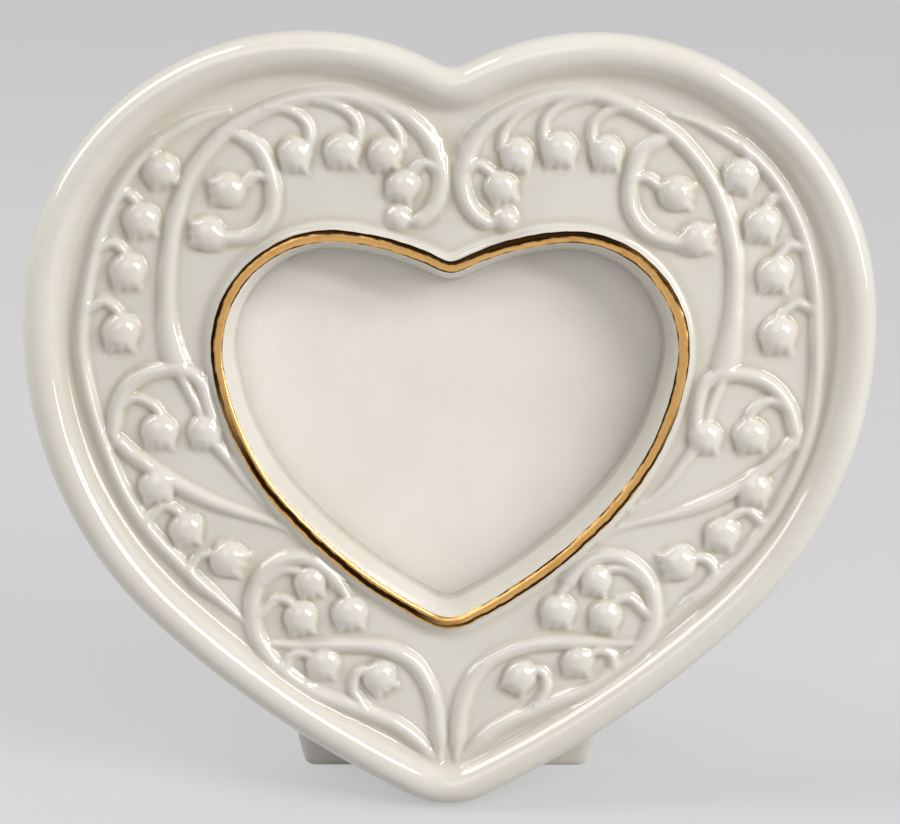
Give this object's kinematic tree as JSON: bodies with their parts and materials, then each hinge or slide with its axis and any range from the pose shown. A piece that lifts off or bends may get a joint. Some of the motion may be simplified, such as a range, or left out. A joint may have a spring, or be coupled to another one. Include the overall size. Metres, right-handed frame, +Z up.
{
  "type": "heart shaped photo frame",
  "caption": "Heart shaped porcelain photo frame with raised bell flower scrolls, a gilded opening and a backing board held by turn buttons.",
  "frame": {"origin": "on the floor under the middle of the frame's bounding box", "axes": "+X to the viewer's right across the frame, +Y from the front to the back, +Z up"},
  "size_m": [0.1462, 0.0442, 0.1321],
  "materials": {
    "glazed_porcelain": "glossy ivory glaze",
    "gilding": "burnished gold, slightly worn",
    "window_glass": "clear",
    "card": "laid paper",
    "fibreboard": "matt hardboard",
    "button_brass": "brushed",
    "screw_steel": "zinc plated",
    "plug_plastic": "matt"
  },
  "bodies": {
    "frame": {"porcelain_body": "glazed_porcelain", "gilt_band": "gilding", "clear_window": "window_glass", "insert_card": "card", "backing_board": "fibreboard", "button_screw_upper_right": "screw_steel", "button_screw_upper_left": "screw_steel", "button_screw_lower_right": "screw_steel", "button_screw_lower_left": "screw_steel", "screw_plug_upper_right": "plug_plastic", "screw_plug_upper_left": "plug_plastic", "screw_plug_lower_right": "plug_plastic", "screw_plug_lower_left": "plug_plastic"},
    "upper_right_button": {"turn_button_upper_right": "button_brass"},
    "upper_left_button": {"turn_button_upper_left": "button_brass"},
    "lower_right_button": {"turn_button_lower_right": "button_brass"},
    "lower_left_button": {"turn_button_lower_left": "button_brass"}
  },
  "joints": [
    {"name": "upper_right_turn", "type": "hinge", "parent": "frame", "child": "upper_right_button", "pos_m": [0.02021, 0.01259, 0.10381], "axis": [0, 0.9848, -0.1736], "continuous": true},
    {"name": "upper_left_turn", "type": "hinge", "parent": "frame", "child": "upper_left_button", "pos_m": [-0.02021, 0.01259, 0.10381], "axis": [0, 0.9848, -0.1736], "continuous": true},
    {"name": "lower_right_turn", "type": "hinge", "parent": "frame", "child": "lower_right_button", "pos_m": [0.03401, 0.00202, 0.04383], "axis": [0, 0.9848, -0.1736], "continuous": true},
    {"name": "lower_left_turn", "type": "hinge", "parent": "frame", "child": "lower_left_button", "pos_m": [-0.03401, 0.00202, 0.04383], "axis": [0, 0.9848, -0.1736], "continuous": true}
  ]
}
